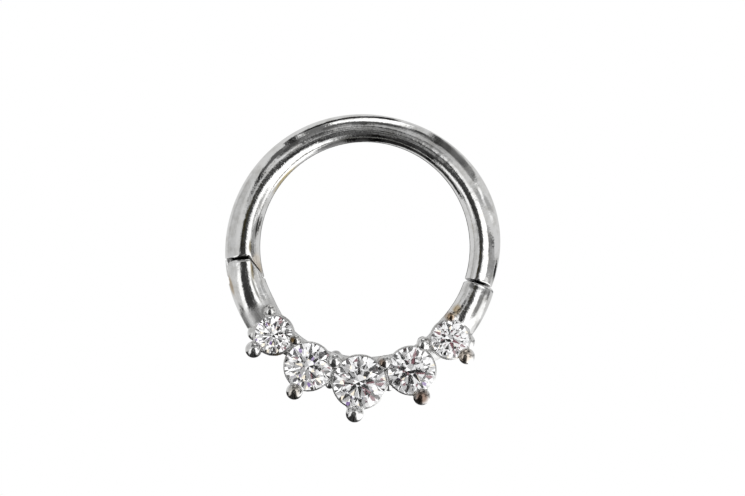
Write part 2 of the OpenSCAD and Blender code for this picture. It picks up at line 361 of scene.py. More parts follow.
@dataclass(frozen=True)
class Wire:
    """A wire that runs round the ring through a row of oval sections.

    A level is how far out a place lies in its section, from 0 in the middle to 1 on the skin. A point is
    drawn onto the skin only from a level in the span `pulled`. The wire's angles start `slack` degrees before
    its first station. The splits are painted dark as shade: its shade reach is how far that painted shade
    lies from a split's edge on the skin, and inside.
    """

    stations: tuple[Station, ...]
    opening_radius: float = OPENING_RADIUS
    slack: float = 20.0
    sides: int = 72
    step: float = 1.5
    skin: float = 0.006
    pulled: Span = (0.5, 2.0)
    end_round: float = 0.06
    polished_depth: float = 0.08
    # How far the splits are painted dark as shade from their edge, on the skin and inside, and how softly that
    # painted shade fades across the wire.
    split_shade_reach: Point = (0.02, 0.12)
    split_shade_fade: float = 0.12

    def value(self, name: str, angle: float) -> float:
        """Reads one size of the wire from a smooth curve through its stations.

        Args:
            name: The field of Station to read.
            angle: Where to read it.

        Returns:
            The size in millimetres.
        """
        rows = self.stations
        last = len(rows) - 1
        i = max(k for k in range(last) if k == 0 or rows[k].angle <= angle)

        def slope(k: int) -> float:
            """Gives the curve's slope at one station."""
            before, after = rows[max(k - 1, 0)], rows[min(k + 1, last)]
            return (getattr(after, name) - getattr(before, name)) / (after.angle - before.angle)

        step = rows[i + 1].angle - rows[i].angle
        u = (angle - rows[i].angle) / step
        v = 1 - u
        return (getattr(rows[i], name) * (1 + 2 * u) * v * v + slope(i) * step * u * v * v
                + getattr(rows[i + 1], name) * (1 + 2 * v) * u * u - slope(i + 1) * step * v * u * u)

    def oval(self, angle: float) -> Oval:
        """Gives the wire's section.

        Args:
            angle: Where it is cut.

        Returns:
            The oval.
        """
        half = self.value("width", angle) / 2
        low = self.value("low", angle)
        return Oval(self.opening_radius + self.value("inset", angle) + half, half, low,
                    (self.value("high", angle) - low) / 2, self.value("crest", angle))

    def angle_of(self, place: Vector) -> float:
        """Gives the angle of a place round the ring, in the range that the stations use."""
        angle = math.degrees(math.atan2(place.y, place.x))
        return angle + 360 if angle < self.stations[0].angle - self.slack else angle

    def sweep(self, start: float, end: float) -> Mesh:
        """Makes a closed length of the wire.

        Args:
            start: Angle of its first end.
            end: Angle of its other end.

        Returns:
            The closed mesh.
        """
        bm = bmesh.new()
        bmesh.ops.create_circle(bm, segments=self.sides, radius=1)
        guide = 2 * self.opening_radius
        upright = turned(start) @ Matrix.Translation((guide, 0, 0)) @ Matrix.Rotation(math.pi / 2, 4, "X")
        bmesh.ops.transform(bm, matrix=upright, verts=bm.verts)
        bmesh.ops.spin(bm, geom=bm.verts[:] + bm.edges[:], cent=(0, 0, 0), axis=(0, 0, 1),
                       angle=math.radians(end - start), steps=math.ceil((end - start) / self.step),
                       use_merge=False, use_duplicate=False)
        bmesh.ops.holes_fill(bm, edges=bm.edges, sides=0)
        for vert in bm.verts:
            out = math.hypot(vert.co.x, vert.co.y)
            oval = self.oval(self.angle_of(vert.co))
            reach = oval.out(out - guide, vert.co.z) / out
            vert.co = (vert.co.x * reach, vert.co.y * reach, max(0.0, oval.low + oval.rise * (1 + vert.co.z)))
        bmesh.ops.recalc_face_normals(bm, faces=bm.faces)
        return bm

    def depth(self, place: Vector) -> float:
        """Tells how deep a place lies in the wire.

        Args:
            place: The place.

        Returns:
            The depth, from 0 on the wire's skin to 1 in its middle.
        """
        oval = self.oval(self.angle_of(place))
        up = (place.z - oval.low) / oval.rise - 1
        return 1 - math.hypot((math.hypot(place.x, place.y) - oval.middle) / oval.half, up)

    def dull(self, place: Vector) -> float:
        """Tells how dull the metal is at a place: the skin is polished, and what was cut inside it is not."""
        return smooth_step(self.depth(place) / self.polished_depth - 1)

    def split_shade(self, place: Vector, way: float, span: Span) -> float:
        """Tells how much painted shade lies at a place: it fills the middle of the splits and stops at the
        skin.

        Args:
            place: The place.
            way: How far it is from the end of the wire.
            span: From where to where across the wire the painted shade lies, from -1 at the inner edge to 1.

        Returns:
            The share of painted shade, from 0 to 1.
        """
        oval = self.oval(self.angle_of(place))
        across = (math.hypot(place.x, place.y) - oval.middle) / oval.half
        reach = self.split_shade_reach[self.depth(place) > self.polished_depth]
        inside = min(across - span[0], span[1] - across) / self.split_shade_fade
        return nearness(way / reach) * smooth_step(0.5 + inside)

    def pull(self, place: Vector, way: float = FAR) -> Vector:
        """Draws a point that lies almost on the wire's skin exactly onto it, and rounds the wire's ends.

        Args:
            place: The point.
            way: How far it is from the end of the wire.

        Returns:
            Where it goes, which is the same place if it isn't near the skin.
        """
        oval = self.oval(self.angle_of(place))
        out = math.hypot(place.x, place.y)
        up = (place.z - oval.low) / oval.rise - 1
        across = (out - oval.middle) / oval.half - oval.crest * max(0.0, up) ** 2
        level = math.hypot(across, up)
        if not self.pulled[0] < level < self.pulled[1]:
            return place
        if oval.low < 0 and place.z < self.skin:
            return Vector((place.x, place.y, 0))
        across, up = across / level, up / level
        radius = math.hypot(oval.half * across, oval.rise * up)
        round_end = self.end_round
        if way < round_end:
            sink = round_end - math.sqrt(max(0.0, round_end * round_end - (round_end - way) ** 2))
            if level < 1 - sink / radius:
                return place
            across, up = across * (1 - sink / radius), up * (1 - sink / radius)
            pull = 1.0
        else:
            pull = smooth_step(2 - abs(level - 1) * min(oval.half, oval.rise) / self.skin)
        reach = oval.out(across, up) / out
        target = Vector((place.x * reach, place.y * reach, oval.low + oval.rise * (1 + up)))
        return place.lerp(target, pull)


@dataclass(frozen=True)
class Hinge:
    """The hinge: the arc's tongue turns about a pin in the bar's fork, which the arc's lip laps inside."""

    angle: float = 187.4
    arc_width: float = 1.34467
    wire_middle: float = 0.61
    pin_inset: float = 0.41
    pin_drop: float = 0.47
    pin_radius: float = 0.18
    pin_top: float = 0.98
    tongue_thickness: float = 0.4
    gap: float = 0.04
    lip_gap: float = 0.008
    lip_crisp: float = 0.1
    lip_worn: float = 0.05
    split_open: float = 0.045
    tongue_in: float = 0.02
    lip_width: float = 0.38
    lip_length: float = 0.73
    lip_run: float = 1.2
    lip_lean: float = 0.45
    heel_share: float = 0.7
    heel_step: float = 0.08
    arc_bore_gap: float = 0.02
    bar_bore_gap: float = 0.01
    round_step: int = 10
    # Across the wire, the span where the split is painted dark as shade.
    shaded_span: Span = (-0.38, 0.6)

    @property
    def place(self) -> Matrix:
        """Puts a shape at the pin, with x outwards and y along the bar."""
        out = OPENING_RADIUS + self.arc_width - self.pin_inset
        return turned(self.angle) @ Matrix.Translation((out, self.pin_drop, 0))

    @property
    def knuckle(self) -> float:
        """Gives the radius of the fork's outer corner about the pin."""
        return self.pin_drop - self.gap

    def way(self, place: Vector, side: Side) -> float:
        """Gives the distance of a place from the split's edge.

        Args:
            place: The place.
            side: Whose edge of the split is meant.

        Returns:
            The distance, to which a little is added beside the lip, where the edge is crisp.
        """
        local = self.place.inverted() @ place
        if side is Side.ARC:
            lip = self.lip_edge(0)
            edge = [*self.arc_split(), lip[0]]
        else:
            lip = self.bar_lip()
            edge = [lip[0], *self.quarter(self.knuckle, -90)]
        spot = (local.x, local.y)
        return min(way_to(spot, edge), way_to(spot, lip) + self.lip_crisp)

    def worn(self, place: Vector) -> float:
        """Tells how dull the metal is at a place because it lies by the lip's leaning edge."""
        local = self.place.inverted() @ place
        return nearness(way_to((local.x, local.y), self.lip_edge(0)) / self.lip_worn)

    def quarter(self, radius: float, start: int) -> list[Point]:
        """Gives the points of a quarter circle about the pin, from a start angle."""
        return [(radius * math.cos(math.radians(a)), radius * math.sin(math.radians(a)))
                for a in range(start, start + 90 + 1, self.round_step)]

    def arc_split(self) -> list[Point]:
        """Gives the arc's edge outside the lip, which comes nearer to the bar outwards.

        Returns:
            Its two ends.
        """
        start = self.lip_edge(0)[0][0] + self.split_open
        lean = self.split_open / (self.pin_inset - start)
        edge = -self.pin_drop - self.split_open
        return [(FAR, edge + lean * (FAR - start)), (start, edge)]

    def lip_edge(self, gap: float) -> list[Point]:
        """Gives the lip's leaning edge.

        Args:
            gap: How far it is moved outwards.

        Returns:
            Its two ends.
        """
        lean = self.lip_lean / self.lip_length
        start = self.pin_inset + self.lip_width - self.arc_width + gap * math.hypot(1, lean)
        tip = self.lip_run * self.lip_length
        return [(start - lean * gap, gap - self.pin_drop), (start - lean * tip, tip - self.pin_drop)]

    def bar_lip(self) -> list[Point]:
        """Gives the two ends of the bar's leaning edge, which is closer to the lip than the split is wide."""
        return [(x, y + self.gap - self.lip_gap) for x, y in self.lip_edge(self.lip_gap)]

    def tongue_end(self, gap: float) -> list[Point]:
        """Gives the tongue's round end and its heel.

        Args:
            gap: How far they are grown.

        Returns:
            Their points in order.
        """
        radius = self.knuckle - self.tongue_in + gap
        heel = self.lip_length - self.pin_drop + gap
        step = (-self.heel_share * self.arc_width, heel + self.heel_step)
        return [*self.quarter(radius, 0), step, (-FAR, heel)]

    def below_arc(self) -> list[Mesh]:
        """Makes what is cut from the arc's wire.

        Returns:
            The two cheeks beside the tongue, what lies past it, and the pin's bore.
        """
        lip = self.lip_edge(0)
        cheek = [*lip, (-FAR, lip[1][1]), (-FAR, FAR), (FAR, FAR), *self.arc_split()]
        end = self.tongue_end(0)
        past = [(FAR, -self.pin_drop), (end[0][0], -self.pin_drop), *end, (-FAR, FAR), (FAR, FAR)]
        half = self.tongue_thickness / 2
        bore = self.pin_radius + self.arc_bore_gap
        shapes = [
            Workbench.prism(cheek, self.wire_middle - half - FAR, self.wire_middle - half),
            Workbench.prism(cheek, self.wire_middle + half, self.wire_middle + half + FAR),
            Workbench.prism(past, -FAR, FAR),
            Workbench.lathe([(0, -FAR), (bore, -FAR), (bore, FAR), (0, FAR)]),
        ]
        return [Workbench.placed(shape, self.place) for shape in shapes]

    def above_bar(self) -> list[Mesh]:
        """Makes what is cut from the bar's wire.

        Returns:
            The arc's side of the split, the round corner, the tongue's slot, its mouth, and the pin's bore.
        """
        top, tip = self.bar_lip()
        arc_side = [(FAR, top[1]), top, tip, (-FAR, tip[1]), (-FAR, -FAR), (FAR, -FAR)]
        corner = [*self.quarter(self.knuckle, -90), (FAR, 0), (FAR, -FAR), (0, -FAR)]
        half = self.tongue_thickness / 2 + self.gap
        reach = self.knuckle - self.tongue_in + self.gap
        slot = [*self.tongue_end(self.gap), (-FAR, -FAR), (reach, -FAR)]
        mouth = [(0, -FAR), (FAR, -FAR), (FAR, reach), (0, reach)]
        bore = self.pin_radius + self.bar_bore_gap
        shapes = [
            Workbench.prism(arc_side, -FAR, FAR),
            Workbench.prism(corner, -FAR, FAR),
            Workbench.prism(slot, self.wire_middle - half, self.wire_middle + half),
            Workbench.prism(mouth, self.wire_middle - half, self.wire_middle + half),
            Workbench.lathe([(0, -FAR), (bore, -FAR), (bore, self.pin_top), (0, self.pin_top)]),
        ]
        return [Workbench.placed(shape, self.place) for shape in shapes]


@dataclass(frozen=True)
class Catch:
    """The catch: a stub on the bar's free end goes into a socket in the arc."""

    angle: float = -15.2
    middle: float = 4.566
    height: float = 0.61
    radius: float = 0.2
    root: float = 0.3
    length: float = 0.4
    tip: float = 0.1
    lean: float = -0.56
    gap: float = 0.06
    slant: float = 0.2
    slant_reach: float = 4.0
    wedge: float = 0.02
    top: float = 1.21
    sides: int = 48
    # Across the wire, the span where the split is painted dark as shade.
    shaded_span: Span = (-0.62, 0.5)

    @property
    def arc_angle(self) -> float:
        """Gives the angle at which the arc starts, past the gap."""
        return self.angle + math.degrees(self.gap / self.middle)

    def shift(self, place: Vector, wedge: float) -> float:
        """Gives how much further towards the bar the slanted end lies at a place than at its top's middle."""
        inwards = self.middle - math.hypot(place.x, place.y)
        return self.slant * (1 - place.z / self.top) - wedge * inwards

    def slanted(self, bm: Mesh, wedge: float) -> Mesh:
        """Slants an end of the wire at the catch, and returns the mesh.

        Args:
            bm: A length of wire that ends at the catch.
            wedge: How much wider the split gets inwards, for each millimetre.

        Returns:
            The same mesh, with the foot of that end moved towards the bar.
        """
        for vert in bm.verts:
            off = abs(math.degrees(math.atan2(vert.co.y, vert.co.x)) - self.angle)
            near = max(0.0, 1 - off / self.slant_reach)
            vert.co = turned(-math.degrees(near * self.shift(vert.co, wedge) / self.middle)) @ vert.co
        return bm

    def way(self, place: Vector, angle: float, wedge: float) -> float:
        """Gives how far a place lies past a slanted end of the wire that is at an angle."""
        past = math.radians(math.degrees(math.atan2(place.y, place.x)) - angle) * self.middle
        return past + self.shift(place, wedge)

    def stub(self, gap: float) -> Mesh:
        """Makes the stub, or the socket's hollow where a gap is given.

        Args:
            gap: How much larger than the stub the shape is all round.

        Returns:
            The closed mesh in its place.
        """
        radius = self.radius + gap
        shoulder = self.length - self.tip + gap
        bm = Workbench.lathe([(0, -self.root), (radius, -self.root), (radius, shoulder),
                              (radius - self.tip, shoulder + self.tip), (0, shoulder + self.tip)], self.sides)
        place = (turned(self.angle) @ Matrix.Translation((self.middle, 0, self.height))
                 @ turned(self.lean - self.angle) @ Matrix.Rotation(-math.pi / 2, 4, "X"))
        return Workbench.placed(bm, place)


@dataclass(frozen=True)
class TintPatch:
    """A tinted patch, the grey ones being painted reflections: its place round and out from the axis, its half
    length and width, and its tint.
    """

    angle: float
    out: float
    length: float
    width: float
    tint: Colour
    above: float = 0.3

    def share(self, place: Vector) -> float:
        """Tells how strongly a place takes the patch's tint.

        Args:
            place: The place.

        Returns:
            The share of the patch's tint, from 0 to 1.
        """
        local = turned(-self.angle) @ place
        if place.z < self.above or local.x < 0:
            return 0.0
        return nearness(math.hypot(local.y / self.length, (local.xy.length - self.out) / self.width))


class Finish:
    """Writes onto a finished piece how its metal is tinted, painted reflections and the painted shade of its
    splits included, and how rough its casting was left.
    """

    @staticmethod
    def write(obj: bpy.types.Object, tint_patches: tuple[TintPatch, ...], split_shade: Callable[[Vector], float],
              cast: Callable[[Vector], float]) -> None:
        """Writes a piece's finish as attributes of its points.

        Args:
            obj: The finished piece.
            tint_patches: Its tinted patches; the grey ones are painted reflections, the tan and brown ones
                tint and darken the metal.
            split_shade: Gives how much painted shade lies in the splits at a place, from 0 to 1.
            cast: Gives how roughly cast a place is, from 0 for polished wire to 1.
        """
        tints, casts = [], []
        for vert in obj.data.vertices:
            # Each point's tint: its tinted patches, of which the grey ones are painted reflections, then the
            # painted shade of the splits.
            place = vert.co / MM
            tint = Vector((1, 1, 1))
            for tint_patch in tint_patches:
                share = tint_patch.share(place)
                if share:
                    tint = tint.lerp(Vector(tint_patch.tint), share)
            tints.extend((*tint.lerp(Vector(grey(SPLIT_SHADE)), split_shade(place)), 1))
            casts.append(cast(place))
        obj.data.attributes.new("tint", "FLOAT_COLOR", "POINT").data.foreach_set("color", tints)
        obj.data.attributes.new("cast", "FLOAT", "POINT").data.foreach_set("value", casts)


@dataclass(frozen=True)
class Grain:
    """How finely a casting is skinned: the width of its faces, and how often they are smoothed."""

    width: float
    passes: int


@dataclass
class RingArc:
    """The plain polished arc, from the catch over the crown to the hinge."""

    hinge: Hinge
    catch: Catch
    wire: Wire = Wire((
        Station(-15, 1.07, crest=-0.06), Station(7.5, 1.18, crest=-0.08), Station(30, 1.18, crest=-0.08),
        Station(52.5, 1.11, crest=-0.07), Station(75, 1.05, crest=-0.06), Station(97.5, 1.07, crest=-0.06),
        Station(120, 1.13, crest=-0.05), Station(142.5, 1.19), Station(165, 1.26),
        Station(187.5, 1.345), Station(205, 1.39)))
    # Grey patches, down to the near black line, are painted reflections; the tan and brown ones tint and
    # darken the metal.
    tint_patches: tuple[TintPatch, ...] = (
        TintPatch(88, 4.13, 1.75, 0.1, (0.36, 0.36, 0.35)), TintPatch(171.8, 4.16, 0.42, 0.03, grey(0.06)),
        TintPatch(142, 4.03, 0.62, 0.05, (0.68, 0.57, 0.33)), TintPatch(182, 4.335, 0.26, 0.045, (0.24, 0.21, 0.14)),
        TintPatch(189.5, 4.14, 0.25, 0.15, (0.96, 0.89, 0.8)), TintPatch(193.5, 4.06, 0.18, 0.1, (0.78, 0.69, 0.58)),
        TintPatch(171.3, 4.313, 0.62, 0.035, grey(0.4)), TintPatch(17, 4.292, 0.8, 0.035, grey(0.4)))
    grain: Grain = Grain(0.032, 3)
    past_tongue: float = 16.0
    socket_gap: float = 0.03
    hinge_half: float = 150.0
    crease: float = 60.0

    def way(self, place: Vector) -> float:
        """Gives how far a place lies from the nearer end of the arc.

        Args:
            place: The place.

        Returns:
            The distance.
        """
        if self.wire.angle_of(place) > self.hinge_half:
            return self.hinge.way(place, Side.ARC)
        return self.catch.way(place, self.catch.arc_angle, self.catch.wedge)

    def split_shade(self, place: Vector) -> float:
        """Tells how much painted shade lies at a place of the arc, in its splits."""
        end = self.hinge if self.wire.angle_of(place) > self.hinge_half else self.catch
        return self.wire.split_shade(place, self.way(place), end.shaded_span)

    def cast(self, place: Vector) -> float:
        """Tells how rough a place is: the arc is polished all over, but not inside the splits."""
        return max(self.wire.dull(place), self.hinge.worn(place))

    def build(self, material: bpy.types.Material) -> bpy.types.Object:
        """Builds the arc.

        Args:
            material: Its metal.

        Returns:
            The finished piece.
        """
        bm = self.wire.sweep(self.catch.arc_angle, self.hinge.angle + self.past_tongue)
        bm = self.catch.slanted(bm, self.catch.wedge)
        bm = Workbench.cut(bm, [*self.hinge.below_arc(), self.catch.stub(self.socket_gap)])
        bm = Workbench.recast(bm, self.grain.width, self.grain.passes)
        for vert in bm.verts:
            vert.co = self.wire.pull(vert.co, self.way(vert.co))
        obj = Workbench.finished(bm, "ring_arc_polished", material, self.crease)
        Finish.write(obj, self.tint_patches, self.split_shade, self.cast)
        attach(obj, "ring")
        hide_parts("ring_arc")
        return obj


@dataclass(frozen=True)
class StonePlace:
    """Where one stone sits, read from its node: its middle, radius, girdle's height and turn."""

    node: str
    x: float
    y: float
    radius: float
    girdle: float
    turn: float

    ON_RIM: ClassVar[float] = 0.999
    FACET_STEP: ClassVar[float] = 22.5

    @classmethod
    def read(cls, node: str, mesh: bpy.types.Mesh) -> "StonePlace":
        """Reads a stone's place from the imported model.

        Args:
            node: The stone's node.
            mesh: The node's mesh, in metres.

        Returns:
            The stone's place in millimetres.
        """
        points = [vert.co / MM for vert in mesh.vertices]
        tip = min(points, key=lambda point: point.z)
        middle = Vector((tip.x, tip.y))
        far = max(points, key=lambda point: (point.xy - middle).length)
        radius = (far.xy - middle).length
        rim = [point for point in points if (point.xy - middle).length > cls.ON_RIM * radius]
        girdle = sum(point.z for point in rim) / len(rim)
        turn = math.degrees(math.atan2(far.y - middle.y, far.x - middle.x)) % cls.FACET_STEP
        return cls(node, middle.x, middle.y, radius, girdle, turn)

    @property
    def place(self) -> Matrix:
        """Puts a shape at the stone's middle, at its girdle."""
        return Matrix.Translation((self.x, self.y, self.girdle))


@dataclass(frozen=True)
class Cup:
    """An open-backed conical cup, with the seat that a stone lies in."""

    stone: StonePlace
    rim: float
    low: float = 0.1
    hole_share: float = 0.5
    foot_wall: float = 0.16
    seat_gap: float = 0.02
    wall_gap: float = 0.006
    bevel: float = 0.09
    below: float = 0.1
    sides: int = 16
    girdle_share: float = 0.03
    table_share: float = 0.57
    crown: float = 34.0
    pavilion: float = 41.0

    def outside(self) -> Mesh:
        """Makes the cup's solid cone.

        Returns:
            The closed mesh in its place.
        """
        radius = self.stone.radius
        foot = self.hole_share * radius + self.foot_wall
        top = radius + self.rim
        down = self.low - self.stone.girdle
        bm = Workbench.lathe([(0, down), (foot, down), (top, -self.bevel), (radius, 0), (0, 0)])
        return Workbench.placed(bm, self.stone.place)

    def seat(self) -> Mesh:
        """Makes what is cut out of the cup and of all that stands round the stone.

        Returns:
            The closed mesh in its place.
        """
        radius = self.stone.radius
        g = self.girdle_share * radius
        hole = self.hole_share * radius
        table = self.table_share * radius
        rise = (radius - table) * math.tan(math.radians(self.crown))
        fall = (radius - hole) * math.tan(math.radians(self.pavilion))
        wall = radius + self.wall_gap
        bottom = -self.stone.girdle - self.below
        top = g + rise + 2 * self.seat_gap
        profile = [
            (0, bottom), (hole, bottom), (hole, -g - fall - self.seat_gap),
            (wall, -g - self.seat_gap), (wall, g + self.seat_gap / 2), (table, top), (0, top),
        ]
        place = self.stone.place @ turned(self.stone.turn)
        return Workbench.placed(Workbench.lathe(profile, self.sides), place)


@dataclass(frozen=True)
class Prong:
    """A straight post with a ball on its end, beside one or two stones."""

    round: float
    ball_out: float
    foot_out: float
    ball_up: float
    ball: float
    post_share: float = 0.8
    foot_up: float = 0.3
    sides: int = 48

    @property
    def head(self) -> Vector:
        """Gives the middle of the ball."""
        return turned(self.round) @ Vector((0, -self.ball_out, self.ball_up))

    @property
    def foot(self) -> Vector:
        """Gives the middle of the post's foot."""
        return turned(self.round) @ Vector((0, -self.foot_out, self.foot_up))

    def build(self) -> list[Mesh]:
        """Makes the post and its ball.

        Returns:
            Their closed meshes in their places.
        """
        run = self.head - self.foot
        radius = self.post_share * self.ball / 2
        post = Workbench.lathe([(0, 0), (radius, 0), (radius, run.length), (0, run.length)], self.sides)
        place = Matrix.Translation(self.foot) @ run.to_track_quat("Z", "Y").to_matrix().to_4x4()
        return [Workbench.placed(post, place), Workbench.ball(self.ball, self.head)]


@dataclass(frozen=True)
class Bead:
    """A pair of balls, one on each side of the bar."""

    round: float
    out: float
    up: float
    ball: float

    @property
    def middles(self) -> list[Vector]:
        """Gives the middles of the two balls."""
        return [turned(side * self.round) @ Vector((0, -self.out, self.up)) for side in (-1, 1)]


@dataclass
class JewelledBar:
    """The cast bar: its two arms and the rail, the cups, the prongs and beads, the fork and the stub."""

    hinge: Hinge
    catch: Catch
    stones: list[StonePlace]
    wire: Wire = Wire((
        Station(184, 1.345), Station(191, 1.365), Station(198, 1.385, crest=0.06),
        Station(212, 1.42, crest=0.15), Station(221, 1.36, 0.08, 0.01, 1.19, 0.1),
        Station(232, 1, 0.19, -0.08, 1), Station(242, 0.9, 0.22, -0.12, 0.95),
        Station(270, 0.9, 0.22, -0.12, 0.95), Station(298, 0.9, 0.22, -0.12, 0.95),
        Station(307, 0.98, 0.17, -0.08, 1), Station(315, 1.26, 0.02, 0.01, 1.18), Station(324, 1.29),
        Station(335, 1.24), Station(346, 1.19)), end_round=0.1)
    prongs: tuple[Prong, ...] = (
        Prong(-53.9, 4.3, 4.42, 1.3, 0.46), Prong(-45, 5.7, 5.2, 1.32, 0.63),
        Prong(-34.3, 4.37, 4.45, 1.34, 0.46), Prong(-23.7, 6.05, 5.5, 1.4, 0.62),
        Prong(-12.6, 4.43, 4.34, 1.4, 0.58), Prong(-1.2, 6.27, 5.65, 1.46, 0.67, 0.92),
        Prong(12.3, 4.41, 4.42, 1.4, 0.52), Prong(23.1, 6.02, 5.5, 1.4, 0.65),
        Prong(33.6, 4.27, 4.26, 1.34, 0.54), Prong(45.3, 5.63, 5.2, 1.32, 0.61),
        Prong(53.9, 4.2, 4.4, 1.3, 0.44))
    beads: tuple[Bead, ...] = (Bead(12, 5.36, 1.12, 0.34), Bead(49.5, 5.29, 0.85, 0.6))
    rims: tuple[tuple[str, float], ...] = (
        ("stone_far_left", 0.1), ("stone_left", 0.06), ("stone_centre", 0.06), ("stone_right", 0.06),
        ("stone_far_right", 0.08))
    # Grey patches are painted reflections; the tan and brown ones, several on the prongs' balls, tint and
    # darken the metal.
    tint_patches: tuple[TintPatch, ...] = (
        TintPatch(193, 4.345, 0.26, 0.045, (0.32, 0.26, 0.16)), TintPatch(198.5, 5.28, 0.35, 0.07, (0.62, 0.52, 0.4)),
        TintPatch(234.6, 4.42, 0.12, 0.12, (0.2, 0.14, 0.07)), TintPatch(233.7, 5.28, 0.16, 0.12, (0.85, 0.72, 0.5)),
        TintPatch(246.3, 6.05, 0.2, 0.3, (0.75, 0.71, 0.66)), TintPatch(280.8, 4.39, 0.14, 0.14, (0.4, 0.31, 0.25)),
        TintPatch(290.5, 5.77, 0.1, 0.1, (0.45, 0.4, 0.3)), TintPatch(293.1, 6.02, 0.26, 0.26, (0.3, 0.22, 0.18)),
        TintPatch(314.6, 5.55, 0.3, 0.25, (0.8, 0.71, 0.62)), TintPatch(323, 4.15, 0.16, 0.16, (0.5, 0.36, 0.24)),
        TintPatch(327.9, 4.22, 0.2, 0.14, (0.72, 0.59, 0.42)),
        TintPatch(203.5, 4.435, 0.56, 0.042, (0.25, 0.25, 0.24)),
        TintPatch(335.5, 4.84, 0.62, 0.085, grey(0.5)), TintPatch(340.5, 4.99, 0.25, 0.05, grey(0.5)),
        TintPatch(341.9, 4.88, 0.12, 0.1, grey(0.3)), TintPatch(342.3, 4.31, 0.1, 0.1, grey(0.25)),
        TintPatch(342.4, 4.6, 0.06, 0.12, grey(0.5)), TintPatch(326, 5.16, 0.3, 0.1, grey(0.62)),
        TintPatch(196, 4.375, 0.22, 0.04, (0.3, 0.27, 0.2)))
    shoulders: Span = (208.0, 326.0)
    shoulder_run: float = 5.0
    ball_cast: float = 0.2
    before_fork: float = 3.0
    grain: Grain = Grain(0.036, 2)
    skin: float = 0.012
    hinge_half: float = 220.0
    crease: float = 50.0

    def way(self, place: Vector) -> float:
        """Gives how far a place lies from the nearer end of the bar.

        Args:
            place: The place.

        Returns:
            The distance.
        """
        if self.wire.angle_of(place) < self.hinge_half:
            return self.hinge.way(place, Side.BAR)
        return -self.catch.way(place, self.catch.angle, 0)

    def split_shade(self, place: Vector) -> float:
        """Tells how much painted shade lies at a place of the bar, in its splits."""
        end = self.hinge if self.wire.angle_of(place) < self.hinge_half else self.catch
        return self.wire.split_shade(place, self.way(place), end.shaded_span)

    def cast(self, place: Vector, balls: list[tuple[Vector, float]]) -> float:
        """Tells how roughly cast a place is: the arms are polished, the balls less so, the rest least.

        Args:
            place: The place.
            balls: The middle and the radius of each ball.

        Returns:
            The roughness, from 0 for polished wire to 1.
        """
        if any((place - middle).length < radius + self.skin for middle, radius in balls):
            return self.ball_cast
        angle = self.wire.angle_of(place)
        rough = smooth_step(min(angle - self.shoulders[0], self.shoulders[1] - angle) / self.shoulder_run)
        return max(rough, self.wire.dull(place), self.hinge.worn(place))

    def pull(self, place: Vector, balls: list[tuple[Vector, float]]) -> Vector:
        """Draws a point that lies almost on a ball or on the wire exactly onto it.

        Args:
            place: The point.
            balls: The middle and the radius of each ball.

        Returns:
            Where it goes.
        """
        for middle, radius in balls:
            away = place - middle
            off = abs(away.length - radius)
            if off < 2 * self.skin:
                return place.lerp(middle + away.normalized() * radius, smooth_step(2 - off / self.skin))
        return self.wire.pull(place, self.way(place))

    def build(self, material: bpy.types.Material) -> bpy.types.Object:
        """Builds the bar.

        Args:
            material: Its metal.

        Returns:
            The finished piece.
        """
        rims = dict(self.rims)
        cups = [Cup(stone, rims[stone.node]) for stone in self.stones]
        forked = self.wire.sweep(self.hinge.angle - self.before_fork, 360 + self.catch.angle)
        forked = self.catch.slanted(forked, 0)
        forked = Workbench.cut(forked, self.hinge.above_bar())
        parts = [forked, self.catch.stub(0), *(cup.outside() for cup in cups)]
        for prong in self.prongs:
            parts.extend(prong.build())
        balls = [(prong.head, prong.ball / 2) for prong in self.prongs]
        for bead in self.beads:
            parts.extend(Workbench.ball(bead.ball, middle) for middle in bead.middles)
            balls.extend((middle, bead.ball / 2) for middle in bead.middles)
        bm = Workbench.recast(Workbench.gather(parts), self.grain.width, self.grain.passes)
        for vert in bm.verts:
            vert.co = self.pull(vert.co, balls)
        bm = Workbench.cut(bm, [cup.seat() for cup in cups])
        obj = Workbench.finished(bm, "jewelled_bar_cast", material, self.crease)
        Finish.write(obj, self.tint_patches, self.split_shade, lambda place: self.cast(place, balls))
        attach(obj, "bar")
        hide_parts("jewelled_bar")
        return obj


@dataclass(frozen=True)
class HingePin:
    """The turned pin in the bar's fork, with a domed lower end and a chamfered upper one."""

    hinge: Hinge
    low: float = 0.18
    high: float = 0.96
    dome: float = 0.06
    chamfer: float = 0.03
    dome_step: int = 10
    sides: int = 64
    crease: float = 30.0
    cast: float = 0.5

    def build(self, material: bpy.types.Material) -> bpy.types.Object:
        """Builds the pin.

        Args:
            material: Its metal.

        Returns:
            The finished piece.
        """
        radius = self.hinge.pin_radius
        domed = [(radius * math.sin(turn), self.low + self.dome * (1 - math.cos(turn)))
                 for turn in (math.radians(a) for a in range(0, 90 + 1, self.dome_step))]
        chamfered = [(radius, self.high - self.chamfer), (radius - self.chamfer, self.high), (0, self.high)]
        bm = Workbench.placed(Workbench.lathe([*domed, *chamfered], self.sides), self.hinge.place)
        obj = Workbench.finished(bm, "hinge_pin_turned", material, self.crease)
        Finish.write(obj, (), lambda place: 0.0, lambda place: self.cast)
        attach(obj, "bar")
        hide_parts("hinge_pin")
        return obj


